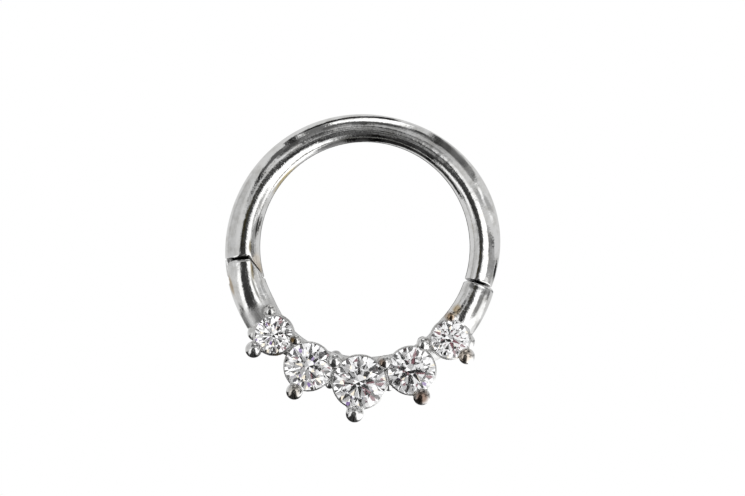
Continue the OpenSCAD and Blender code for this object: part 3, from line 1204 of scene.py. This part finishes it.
class NodeTree:
    """Adds and links the nodes of one material or world."""

    def __init__(self, owner: Owner) -> None:
        """Starts with an empty tree.

        Args:
            owner: The material or world that gets the nodes.
        """
        owner.use_nodes = True
        self.owner = owner
        self.tree = owner.node_tree
        self.tree.nodes.clear()

    def add(self, kind: str, values: dict[str, object] | None = None, **settings: object) -> bpy.types.Node:
        """Adds a node.

        Args:
            kind: The node's type, without the words that all types start with.
            values: What its inputs get, by name: a value, a socket, or a node, whose first output is meant.
            settings: Values for its own properties.

        Returns:
            The new node.
        """
        node = self.tree.nodes.new("ShaderNode" + kind)
        for name, value in settings.items():
            setattr(node, name, value)
        for name, value in (values or {}).items():
            target = node.inputs[int(name)] if name.isdigit() else node.inputs[name]
            if isinstance(value, bpy.types.Node):
                value = value.outputs[0]
            if isinstance(value, bpy.types.NodeSocket):
                self.tree.links.new(value, target)
            else:
                target.default_value = value
        return node

    def ranged(self, value: Source, span: Span, onto: Span = (0.0, 1.0)) -> bpy.types.Node:
        """Maps one range of a value onto another, and holds it at its ends."""
        return self.add("MapRange", {"Value": value, "From Min": span[0], "From Max": span[1],
                                     "To Min": onto[0], "To Max": onto[1]})

    def mixed(self, share: Source, first: Source, second: Source, blend: str = "MIX") -> bpy.types.NodeSocket:
        """Mixes a second colour into a first one."""
        return self.add("Mix", {"Factor": share, "6": first, "7": second}, data_type="RGBA",
                        blend_type=blend).outputs[2]

    def vector(self, operation: str, first: Source, second: Source) -> bpy.types.Node:
        """Changes a vector by another one, or by a number if it is scaled."""
        name = "Scale" if operation == "SCALE" else "1"
        return self.add("VectorMath", {"0": first, name: second}, operation=operation)

    def ended(self, shader: bpy.types.Node, output: str = "OutputMaterial") -> Owner:
        """Ends the tree with a shader, and returns the material or world that it belongs to."""
        self.add(output, {"Surface": shader})
        return self.owner

    def shining(self, colour: Source, strength: float = 1.0) -> bpy.types.Material:
        """Ends the tree of a material that shines with a colour, and returns the material."""
        return self.ended(self.add("Emission", {"Color": colour, "Strength": strength}))


@dataclass(frozen=True)
class Texture:
    """A noise: how fine it is, how many finer layers it has, and how strong each is beside the last."""

    scale: float
    detail: float
    roughness: float = 0.5

    def add(self, nodes: NodeTree, place: Source, **settings: object) -> bpy.types.Node:
        """Adds the noise to a material.

        Args:
            nodes: The material's nodes.
            place: The place at which it is read.
            settings: Values for the node's own properties.

        Returns:
            The noise's node.
        """
        values = {"Vector": place, "Scale": self.scale, "Detail": self.detail, "Roughness": self.roughness}
        return nodes.add("TexNoise", values, **settings)


@dataclass(frozen=True)
class PolishedSteel:
    """Mirror-polished steel with streaks along the wire, ripples, fine grain, dull patches, tints that hold
    painted reflections and painted shade, and rougher castings.
    """

    colour: Colour = (0.84, 0.84, 0.835)
    dull: Colour = (0.62, 0.61, 0.585)
    polish: Span = (0.03, 0.09)
    cast_rough: float = 0.4
    cast_dim: float = 0.9
    ripple: float = 7.5e-6
    streak: float = 3.2e-6
    grain: float = 2.2e-6
    stretch: float = 0.0006
    ripples: Texture = Texture(3200.0, 3.0)
    streaks: Texture = Texture(9000.0, 3.0, 0.6)
    grains: Texture = Texture(18000.0, 2.0)
    tint_patches: Texture = Texture(2400.0, 5.0, 0.65)
    streak_span: Span = (0.3, 0.75)
    stain_span: Span = (0.45, 0.75)

    def add_streaks(self, nodes: NodeTree, place: Source) -> bpy.types.Node:
        """Adds a noise that is drawn out along the wire, all round the ring.

        Args:
            nodes: The material's nodes.
            place: The place on the piece.

        Returns:
            The noise's node.
        """
        split = nodes.add("SeparateXYZ", {"0": place})
        flat = nodes.add("CombineXYZ", {"X": split.outputs["X"], "Y": split.outputs["Y"]})
        length = nodes.add("VectorMath", {"0": flat}, operation="LENGTH").outputs["Value"]
        course = nodes.add("VectorMath", {"0": flat}, operation="NORMALIZE")
        along = nodes.vector("SCALE", course, self.stretch)
        lift = nodes.add("CombineXYZ", {"Z": split.outputs["Z"]})
        streaks = self.streaks.add(nodes, nodes.vector("ADD", along, lift), noise_dimensions="4D")
        nodes.tree.links.new(length, streaks.inputs["W"])
        return streaks

    def build(self) -> bpy.types.Material:
        """Makes the material.

        Returns:
            The polished steel.
        """
        nodes = NodeTree(bpy.data.materials.new("polished_steel"))
        place = nodes.add("TexCoord").outputs["Object"]
        streaks = self.add_streaks(nodes, place)
        cast = nodes.add("Attribute", attribute_name="cast").outputs["Fac"]
        # The tint holds the tan and brown patches, the grey patches that are painted reflections, and the
        # painted shade of the splits.
        tint = nodes.add("Attribute", attribute_name="tint").outputs["Color"]
        bump = None
        for height, distance in ((self.ripples.add(nodes, place), self.ripple), (streaks, self.streak),
                                 (self.grains.add(nodes, place), self.grain)):
            values = {"Height": height, "Distance": distance, "Strength": 1.0}
            if bump:
                values["Normal"] = bump
            bump = nodes.add("Bump", values)
        worn = nodes.ranged(streaks, self.streak_span, self.polish)
        rough = nodes.add("Mix", {"Factor": cast, "2": worn, "3": self.cast_rough}, data_type="FLOAT")
        share = nodes.ranged(self.tint_patches.add(nodes, place), self.stain_span)
        metal = nodes.mixed(share, (*self.colour, 1), (*self.dull, 1))
        tinted = nodes.mixed(1.0, metal, tint, "MULTIPLY")
        base = nodes.vector("SCALE", tinted, nodes.ranged(cast, (0.0, 1.0), (1.0, self.cast_dim)))
        return nodes.ended(nodes.add("BsdfPrincipled", {
            "Base Color": base, "Metallic": 1.0, "Roughness": rough, "Normal": bump}))


@dataclass(frozen=True)
class ClearStone:
    """A clear cut stone with strong refraction."""

    colour: Colour = (0.985, 0.985, 0.99)
    refraction: float = 2.15

    def build(self) -> bpy.types.Material:
        """Makes the material."""
        nodes = NodeTree(bpy.data.materials.new("clear_stone"))
        return nodes.ended(nodes.add("BsdfPrincipled", {
            "Base Color": (*self.colour, 1), "Roughness": 0.0, "IOR": self.refraction,
            "Transmission Weight": 1.0}))


@dataclass(frozen=True)
class Card:
    """One soft-edged card of the light tent, given by where it shows on the wire as the camera sees it.

    Its corners are places on the wire: the angle round the ring, and how far across the wire, from -1 at its
    inner edge to 1 at its outer edge. Ribs and lines are how strongly its brightness changes along and across
    the wire, and the soft edge is as wide as so many degrees of the tent.
    """

    level: float
    corners: tuple[Point, ...]
    soft: float = 5.0
    ribs: float = 0.0
    lines: float = 0.0
    hue: Colour = (1.0, 1.0, 1.0)


@dataclass(frozen=True)
class Sight:
    """The camera's place, and the tent that it sees in the metal."""

    camera: Vector
    tent_middle: Vector
    tent_radius: float
    reach: float = 0.5

    @staticmethod
    def skin(wire: Wire, angle: float, across: float) -> Vector:
        """Gives a place on the wire's upper skin.

        Args:
            wire: The wire.
            angle: Angle round the ring.
            across: How far across the round the place lies.

        Returns:
            The place.
        """
        oval = wire.oval(angle)
        up = math.sqrt(max(0.0, 1 - across * across))
        return turned(angle) @ Vector((oval.out(across, up), 0, oval.low + oval.rise * (1 + up)))

    def off(self, wire: Wire, angle: float, across: float) -> Vector:
        """Follows the camera's sight off the wire's skin to the tent.

        Args:
            wire: The wire that mirrors it.
            angle: Angle round the ring of the place on the wire.
            across: How far across the wire the place is.

        Returns:
            Where the sight meets the tent, from the tent's middle.
        """
        oval = wire.oval(angle)
        round_place = oval.unskewed(across)
        up = math.sqrt(max(0.0, 1 - round_place * round_place))
        place = self.skin(wire, angle, round_place)
        slope = 1 - 2 * oval.crest * round_place
        normal = turned(angle) @ Vector((oval.rise * round_place, 0, oval.half * slope * up))
        ahead = self.skin(wire, angle + self.reach, round_place)
        normal -= normal.project(ahead - self.skin(wire, angle - self.reach, round_place))
        away = (place - self.camera).normalized().reflect(normal.normalized())
        here = place - self.tent_middle
        lean = here.dot(away)
        return here + away * (math.sqrt(lean * lean - here.length_squared + self.tent_radius ** 2) - lean)


class SkyMap:
    """A flat map of the tent, with straight up in the middle and the tilt from it in degrees as distance."""

    @staticmethod
    def lay(direction: Vector) -> Point:
        """Lays a direction on the map.

        Args:
            direction: The direction from the tent's middle.

        Returns:
            Its place on the map.
        """
        tilt = math.degrees(math.atan2(direction.xy.length, direction.z))
        spot = direction.xy.normalized() * tilt
        return (spot.x, spot.y)


class HungCard:
    """A card in its place on the map of the tent."""

    def __init__(self, card: Card, outline: list[Point]) -> None:
        """Keeps the card with its outline.

        Args:
            card: The card.
            outline: Its edge on the map, in order, with the first point once more at the end.
        """
        self.card = card
        self.outline = outline
        margin = card.soft / 2
        self.low = Vector([min(spot[k] for spot in outline) - margin for k in (0, 1)])
        self.high = Vector([max(spot[k] for spot in outline) + margin for k in (0, 1)])

    def holds(self, spot: Point) -> bool:
        """Tells whether a place lies inside the card's edge.

        Args:
            spot: The place on the map.

        Returns:
            Whether a line from it crosses the edge an odd number of times.
        """
        crossings = 0
        for (ax, ay), (bx, by) in zip(self.outline, self.outline[1:]):
            if (ay > spot[1]) != (by > spot[1]):
                crossings += spot[0] < ax + (spot[1] - ay) * (bx - ax) / (by - ay)
        return crossings % 2 == 1

    def share(self, spot: Point) -> float:
        """Tells how much the card covers at a place.

        Args:
            spot: The place on the map.

        Returns:
            The share, from 0 to 1, with a half on the card's edge.
        """
        if not (self.low.x < spot[0] < self.high.x and self.low.y < spot[1] < self.high.y):
            return 0.0
        way = way_to(spot, self.outline)
        return smooth_step(0.5 + (way if self.holds(spot) else -way) / self.card.soft)


@dataclass
class LightTent:
    """The tent of light and dark cards that only shows in the metal."""

    arc: Wire
    bar: Wire
    camera: Vector
    split: Span = (-15.2, 187.4)
    radius: float = 16.0
    middle: float = 0.6
    ground: float = 0.72
    steps: Point = (5.0, 0.1)
    detail: int = 7
    fold: float = 4.5
    line_length: float = 9.0
    swing: float = 2.0
    dimmest: float = 0.1
    caps: tuple[tuple[float, float, float], ...] = ((0.045, 6.5, 3.0), (0.03, 166.0, 172.0))
    cards: tuple[Card, ...] = (
        # the left of the arc, outer half
        Card(0.6, ((150, 0.5), (165, 0.4), (187, 0.3), (195, 0.4), (195, 0.7), (187, 0.8), (165, 0.85),
             (150, 0.8)), 14, 0.05, 0.15),
        # the bar's right arm
        Card(0.66, ((-36, 0.78), (-31, 0.75), (-31, 0.5), (-33, 0.25), (-36, 0.2))),
        Card(0.2, ((-32, 0.45), (-26, 0.5), (-16, 0.56), (-16.5, 0.12), (-19, 0.22), (-31, 0.26))),
        Card(1.05, ((-35, 0.2), (-28, 0.19), (-17.5, 0.19), (-18.5, -0.08), (-25, -0.08), (-35, 0))),
        Card(0.14, ((-21, 0.72), (-17.5, 0.78), (-17.5, 0.62), (-20, 0.6))),
        Card(0.05, ((-25, -0.08), (-20, -0.12), (-18, -0.16), (-19, -0.26), (-25, -0.26)), 4),
        Card(0.4, ((-29, -0.2), (-20, -0.28), (-20, -0.5), (-28, -0.55)), 6, 0.3),
        # the bar's left arm
        Card(1.3, ((190, 0.04), (194, 0.15), (203, 0.28), (211, 0.37), (211, 0.56), (203, 0.5), (194, 0.34),
             (190, 0.2)), 4),
        Card(1.4, ((189, -0.24), (195, -0.16), (210, 0), (210, -0.2), (195, -0.36), (189, -0.42)), 4),
        Card(0.03, ((189, 0), (195, 0.13), (203, 0.26), (211, 0.35), (211, 0), (203, -0.06), (195, -0.16),
             (189, -0.28)), 3, 0.2),
        Card(0.12, ((189.5, -0.43), (195, -0.46), (198, -0.43), (196, -0.6), (190.5, -0.6)), 3, 0.5),
        Card(0.3, ((198, -0.32), (208, -0.26), (208, -0.34), (198, -0.42)), 4),
        Card(0.14, ((207, 0.8), (212, 0.72), (213, 0.58), (208, 0.66)), 4),
        # the right of the arc, outer half
        Card(0.36, ((-12.5, 0.74), (-3, 0.72), (-1.5, 0.55), (1, 0.55), (2, 0.2), (-5, 0.22), (-12, 0.3)),
             5, 0.3),
        Card(0.03, ((-12, 0.98), (-8, 0.93), (-3.5, 0.87), (-4, 0.76), (-8, 0.76), (-12, 0.82)), 3, 0.3),
        Card(0.3, ((0, 0.42), (3.5, 0.42), (9, 0.32), (9, 0.18), (1, 0.16))),
        Card(1.1, ((14, 0.62), (16, 0.6), (17.5, 0.46), (14.5, 0.46)), 4),
        Card(0.42, ((18, 0.75), (22, 0.72), (26, 0.58), (25.5, 0.44), (19, 0.46)), 5),
        Card(0.36, ((21.5, 0.34), (31, 0.34), (30, 0.08), (22, 0.1)), 5, 0.2),
        Card(1.2, ((24.5, 0.4), (27, 0.48), (31, 0.48), (31.2, 0.33), (22.5, 0.33)), 4),
        Card(1.2, ((-14.8, 0.5), (-12.4, 0.5), (-12.4, 0.1), (-14.8, 0.1)), 3),
        # the crown and the upper left, outer half
        Card(0.45, ((45, 0.3), (60, 0.32), (60, -0.2), (50, -0.18), (46, 0)), 8, 0.4, 0.4),
        Card(0.24, ((57, 0.35), (63, 0.45), (72, 0.47), (90, 0.4), (110, 0.52), (123, 0.5), (131, 0.32),
             (136, 0.2), (133, 0.04), (124, -0.12), (120, -0.24), (90, -0.24), (70, -0.24), (58, -0.2)), 5,
             0.6, 0.8),
        Card(0.56, ((52, 0.29), (57, 0.32), (63, 0.3), (72, 0.3), (78, 0.26), (87, 0.22), (87, 0.1),
             (78, 0.06), (66, 0.04), (60, 0.06), (54, 0.1)), 4, 0.2, 0.3),
        Card(0.26, ((31, 0.35), (33, 0.6), (36, 0.75), (45, 0.85), (60, 0.9), (61.5, 0.86), (61, 0.5),
             (63, 0.45), (60, 0.32), (45, 0.31), (36, 0.32)), 6, 0.6, 0.3),
        Card(0.11, ((40, 0.42), (43, 0.72), (60, 0.86), (61, 0.8), (60.5, 0.36), (45, 0.36)), 12, 0.6, 0.4),
        Card(0.62, ((63.5, 0.86), (71, 0.88), (75, 0.85), (71.5, 0.58), (66, 0.58)), 4),
        Card(0.07, ((61.5, 0.57), (70, 0.57), (71.5, 0.44), (62, 0.43)), 4),
        Card(0.1, ((75, 0.44), (85, 0.42), (95, 0.4), (108, 0.42), (108, 0.3), (95, 0.28), (84, 0.31)), 4),
        Card(1.5, ((70.5, 0.76), (77, 0.74), (84, 0.68), (90, 0.64), (100, 0.585), (107.5, 0.555),
             (108, 0.43), (95, 0.43), (85, 0.43), (77, 0.49), (74, 0.56)), 4),
        Card(0.16, ((109, 0.58), (122, 0.57), (121, 0.34), (109, 0.36)), 4),
        Card(0.02, ((76, 0.8), (80, 0.88), (85, 0.86), (92, 0.81), (100, 0.78), (110, 0.73), (123, 0.69),
             (123, 0.57), (112, 0.58), (100, 0.65), (92, 0.67), (85, 0.7), (80, 0.72)), 4),
        Card(1.0, ((120.8, 0.62), (122.9, 0.64), (122.1, 0.38), (120.8, 0.38)), 2),
        Card(0.03, ((124, 0.71), (130, 0.71), (130, 0.34), (124, 0.31)), 4),
        Card(0.08, ((122.5, 0.33), (130, 0.36), (136, 0.3), (137, 0.14), (124, 0.1)), 5),
        Card(0.12, ((130, 0.5), (139, 0.56), (141, 0.46), (147, 0.41), (147, 0.27), (139, 0.26),
             (130, 0.32)), 5),
        Card(0.02, ((145, 0.39), (150, 0.37), (154.5, 0.26), (154, 0.11), (146.5, 0.1)), 3),
        Card(0.05, ((110, 0.1), (115, 0.17), (122, 0.13), (122, -0.08), (111, -0.06)), 5),
        Card(1.0, ((125.5, 0.08), (130, 0.05), (134, 0.05), (134, -0.06), (126, -0.06)), 4),
        # the right of the arc, inner half
        Card(1.1, ((24, -0.58), (34, -0.56), (46, -0.6), (50, -0.74), (49, -0.78), (46, -0.69), (34, -0.66),
             (25, -0.63)), 4),
        Card(0.03, ((28, -0.78), (31, -0.72), (44, -0.72), (48, -0.68), (51, -0.8), (50, -0.9),
             (31, -0.88)), 4, 0.5),
        # the left of the arc, inner half
        Card(1.5, ((107, -0.65), (112, -0.58), (120, -0.45), (127, -0.4), (135, -0.43), (141, -0.39),
             (146, -0.32), (150, -0.29), (165, -0.24), (186, -0.19), (186, -0.36), (178, -0.38),
             (170, -0.43), (163, -0.46), (153, -0.5), (151, -0.8), (147, -0.84), (135, -0.93), (123, -0.9),
             (117, -0.8), (107, -0.72)), 4),
        Card(0.64, ((153, -0.5), (165, -0.46), (165, -0.6), (155, -0.62), (152, -0.6)), 6, 0.1, 0.2),
        Card(1.2, ((151, -0.61), (156, -0.62), (163, -0.62), (164, -0.72), (156, -0.79), (150, -0.83)), 4),
        Card(0.37, ((156, -0.5), (165, -0.47), (171, -0.44), (178, -0.4), (185, -0.39), (185, -0.46),
             (178.5, -0.5), (165, -0.57), (156, -0.54)), 3),
        Card(0.1, ((178.5, -0.41), (185.5, -0.41), (185.5, -0.58), (178.5, -0.57)), 2.5, 0.4),
        # a dark streak on the right, outer half, laid over the white card of the left
        Card(0.03, ((1, 0.54), (5.5, 0.53), (6.4, 0.42), (6, 0.28), (4.6, 0.3), (3.4, 0.44)), 3),
        # the dark and white bands along the middle
        Card(0.035, ((50, -0.57), (57, -0.4), (72, -0.4), (76, -0.26), (83, -0.24), (90, -0.25),
             (106, -0.27), (106, -0.75), (104, -0.8), (103, -0.98), (90, -0.97), (75, -0.93), (66, -0.9),
             (57, -0.9), (49, -0.9), (50.5, -0.8), (52.5, -0.7)), 5, 1.3),
        Card(0.28, ((104, -0.77), (112, -0.76), (119, -0.83), (118.5, -0.97), (104, -0.97)), 4, 0.3),
        Card(0.22, ((80, -0.38), (88.5, -0.38), (88.5, -0.46), (80, -0.5)), 4, 0.3),
        Card(0.05, ((58, -0.22), (73, -0.24), (75, -0.38), (58, -0.4)), 5, 0.6, 0.3),
        Card(0.3, ((99, -0.28), (104.5, -0.28), (104.5, -0.72), (99, -0.72)), 4, 0.9),
        Card(0.025, ((105, -0.27), (113, -0.26), (119, -0.24), (128, -0.19), (135, -0.02), (142, -0.04),
             (148, 0), (160, 0.01), (160, -0.26), (150, -0.3), (141, -0.37), (135, -0.4), (127, -0.37),
             (121, -0.39), (117, -0.46), (113, -0.5), (105, -0.47)), 4, 0.3),
        Card(0.1, ((-14.6, 0), (-8, -0.11), (0, -0.18), (10, -0.24), (10, -0.46), (4, -0.45), (0, -0.42),
             (-10, -0.4), (-14.6, -0.39)), 4, 0.15),
        Card(0.045, ((9, -0.24), (20, -0.25), (30, -0.26), (36, -0.27), (45, -0.23), (51.5, -0.24),
             (53.5, -0.38), (58, -0.58), (45, -0.57), (34, -0.53), (27, -0.52), (15, -0.47), (9, -0.46)), 4,
             0.4),
        Card(0.01, ((158, 0), (165, -0.01), (175, 0), (181, 0.03), (187, 0.08), (187, -0.18), (175, -0.21),
             (158, -0.26)), 4),
        Card(1, ((163, 0), (173, 0.02), (173, -0.1), (163, -0.12)), 5, 0.6, hue=(0.06, 0.052, 0.02)),
        Card(1.5, ((-14.6, 0.28), (-10, 0.24), (0, 0.17), (10, 0.1), (26.5, 0.02), (26.5, -0.2),
             (10, -0.21), (0, -0.17), (-8, -0.1), (-14.6, 0.02)), 3),
        Card(1.0, ((29, -0.03), (50, -0.03), (50, -0.18), (30, -0.18)), 3, 0.2),
    )

    def seen(self, sight: Sight, angle: float, across: float) -> Point:
        """Gives where a place of the wires shows on the map of the tent.

        Args:
            sight: The camera's sight.
            angle: Angle of the place round the ring.
            across: How far across the wire it is.

        Returns:
            The place on the map.
        """
        if self.split[0] < angle < self.split[1]:
            return SkyMap.lay(sight.off(self.arc, angle, across))
        return SkyMap.lay(sight.off(self.bar, angle % 360, across))

    def hung(self) -> list[HungCard]:
        """Hangs every card where the camera sees it at its place on the wire.

        Returns:
            The cards with their outlines, those on top last.
        """
        sight = Sight(self.camera, Vector((0, 0, self.middle)), self.radius)
        hung = []
        for card in self.cards:
            outline = []
            for (a, u), (b, v) in zip(card.corners, card.corners[1:] + card.corners[:1]):
                count = max(1, math.ceil(abs(b - a) / self.steps[0]), math.ceil(abs(v - u) / self.steps[1]))
                outline.extend(self.seen(sight, a + (b - a) * k / count, u + (v - u) * k / count)
                               for k in range(count))
            hung.append(HungCard(card, [*outline, outline[0]]))
        return hung

    def glow(self, place: Vector, cards: list[HungCard]) -> Colour:
        """Gives the tent's colour in one direction.

        Args:
            place: The direction from the tent's middle.
            cards: The hung cards, those on top last.

        Returns:
            The colour.
        """
        spot = SkyMap.lay(place)
        tilt = math.hypot(*spot)
        turn = place.xy.normalized() * math.degrees(1) / self.fold
        rib = noise.noise(Vector((turn.x, turn.y, 0)))
        line = noise.noise(Vector((turn.x / self.line_length, turn.y / self.line_length, tilt / self.fold)))
        colour = Vector(grey(self.ground))
        for hung in cards:
            share = hung.share(spot)
            if share:
                card = hung.card
                bright = max(self.dimmest, 1 + self.swing * card.ribs * rib + self.swing * card.lines * line)
                colour = colour.lerp(Vector(card.hue) * card.level * bright, share)
        for level, start, full in self.caps:
            colour = colour.lerp(Vector(grey(level)), smooth_step((tilt - start) / (full - start)))
        return tuple(colour)

    def build(self) -> bpy.types.Object:
        """Hangs the tent.

        Returns:
            The finished tent.
        """
        cards = self.hung()
        bm = bmesh.new()
        bmesh.ops.create_icosphere(bm, subdivisions=self.detail, radius=self.radius)
        layer = bm.verts.layers.float_color.new("glow")
        for vert in bm.verts:
            vert[layer] = (*self.glow(vert.co, cards), 1)
        bmesh.ops.translate(bm, verts=bm.verts, vec=(0, 0, self.middle))
        nodes = NodeTree(bpy.data.materials.new("light_tent"))
        material = nodes.shining(nodes.add("Attribute", attribute_name="glow").outputs["Color"])
        tent = Workbench.finished(bm, "light_tent", material)
        Studio.hang(tent)
        tent.visible_transmission = False
        return tent


@dataclass
class SparkTent:
    """The tent of bright and dim patches, some of them coloured, that only shows through the stones."""

    radius: float = 15.0
    patches: float = 150.0
    sparks: float = 300.0
    bright: float = 1.4
    dim: float = 0.03
    span: Span = (0.28, 0.74)
    detail: int = 5
    fire: float = 0.1
    shift: Vector = field(default_factory=lambda: Vector((0.0, 0.13, 0.0)))
    hues: tuple[tuple[float, Colour], ...] = (
        (0.0, (0.3, 0.2, 0.46)), (0.35, (0.26, 0.12, 0.14)),
        (0.6, (1.25, 1.15, 0.95)), (0.8, (0.9, 0.95, 1.3)))

    def build(self) -> bpy.types.Object:
        """Hangs the tent.

        Returns:
            The finished tent.
        """
        bm = bmesh.new()
        bmesh.ops.create_icosphere(bm, subdivisions=self.detail, radius=self.radius)
        nodes = NodeTree(bpy.data.materials.new("spark_tent"))
        place = nodes.vector("ADD", nodes.add("TexCoord").outputs["Object"], self.shift)
        patches = nodes.add("TexVoronoi", {"Vector": place, "Scale": self.patches})
        patch = nodes.add("SeparateColor", {"Color": patches.outputs["Color"]})
        level = nodes.ranged(patch.outputs["Red"], self.span, (self.dim, self.bright))
        sparks = nodes.add("TexVoronoi", {"Vector": place, "Scale": self.sparks})
        spark = nodes.add("SeparateColor", {"Color": sparks.outputs["Color"]})
        fire = nodes.add("Math", {"0": spark.outputs["Green"], "1": self.fire}, operation="LESS_THAN")
        hue = nodes.add("ValToRGB", {"Fac": spark.outputs["Blue"]})
        stops = hue.color_ramp
        stops.interpolation = "CONSTANT"
        stops.elements.remove(stops.elements[1])
        stops.elements[0].color = (*self.hues[0][1], 1)
        for position, colour in self.hues[1:]:
            stops.elements.new(position).color = (*colour, 1)
        plain = nodes.add("CombineColor", {"Red": level, "Green": level, "Blue": level})
        tent = Workbench.finished(bm, "spark_tent", nodes.shining(nodes.mixed(fire, plain, hue)))
        Studio.hang(tent)
        tent.visible_glossy = False
        return tent


@dataclass
class Studio:
    """The white light table that the ring lies on, the soft light, and the camera."""

    table_size: float = 600.0
    table_light: float = 1.0
    sky: float = 1.0
    lens: float = 69.63
    camera: Vector = field(default_factory=lambda: Vector((0.2915, -0.0303, 55.6)))
    roll: float = 2.3
    clip: Span = (0.001, 10.0)
    bounces: int = 24
    bounces_through: int = 20
    bounces_off: int = 12

    def build(self) -> None:
        """Builds the light table, the light and the camera."""
        self.build_table()
        self.build_sky()
        self.build_camera()
        scene = bpy.context.scene
        scene.view_settings.view_transform = "Standard"
        scene.cycles.max_bounces = self.bounces
        scene.cycles.transmission_bounces = self.bounces_through
        scene.cycles.glossy_bounces = self.bounces_off

    @staticmethod
    def hang(tent: bpy.types.Object) -> None:
        """Hides a tent from the camera, from diffuse light and from shadows, so that it shows only in what
        mirrors or bends light.

        Args:
            tent: The tent.
        """
        for material in tent.data.materials:
            material.cycles.emission_sampling = "NONE"
        tent.visible_camera = False
        tent.visible_diffuse = False
        tent.visible_shadow = False

    def build_table(self) -> None:
        """Lays the white light table that the ring rests on."""
        bm = bmesh.new()
        bmesh.ops.create_grid(bm, x_segments=1, y_segments=1, size=self.table_size / 2)
        nodes = NodeTree(bpy.data.materials.new("light_table"))
        table = Workbench.finished(bm, "floor", nodes.shining((1, 1, 1, 1), self.table_light), None)
        table.visible_glossy = False
        table.visible_transmission = False

    def build_sky(self) -> None:
        """Lights all evenly from above."""
        nodes = NodeTree(bpy.data.worlds.new("studio"))
        light = nodes.add("Background", {"Color": (1, 1, 1, 1), "Strength": self.sky})
        bpy.context.scene.world = nodes.ended(light, "OutputWorld")

    def build_camera(self) -> None:
        """Hangs the camera straight above the ring, as the photograph was taken."""
        camera = bpy.data.cameras.new("camera")
        camera.lens = self.lens
        camera.clip_start, camera.clip_end = self.clip
        holder = bpy.data.objects.new("camera", camera)
        holder.location = self.camera * MM
        holder.rotation_euler = (0, 0, math.radians(self.roll))
        bpy.context.scene.collection.objects.link(holder)
        bpy.context.scene.camera = holder


def main() -> None:
    """Builds every piece and the studio."""
    logging.basicConfig(level=logging.INFO, format="%(name)s: %(message)s")
    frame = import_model()
    steel = PolishedSteel().build()
    clear = ClearStone().build()
    hinge, catch = Hinge(), Catch()
    nodes = frame["nodes"]
    names = [name for name in sorted(nodes) if name.startswith("stone_")]
    places = [StonePlace.read(name, nodes[name].data) for name in names]
    ring_arc = RingArc(hinge, catch)
    jewelled_bar = JewelledBar(hinge, catch, places)
    for piece in (ring_arc.build(steel), jewelled_bar.build(steel), HingePin(hinge).build(steel)):
        LOG.info("%s: %d faces", piece.name, len(piece.data.polygons))
    for place in places:
        stone = nodes[place.node]
        stone.data.materials.clear()
        stone.data.materials.append(clear)
        LOG.info("%s: radius %.3f mm", stone.name, place.radius)
    studio = Studio()
    studio.build()
    light_tent = LightTent(ring_arc.wire, jewelled_bar.wire, studio.camera)
    for tent in (light_tent.build(), SparkTent().build()):
        LOG.info("%s: %d faces", tent.name, len(tent.data.polygons))


if __name__ == "__main__":
    main()
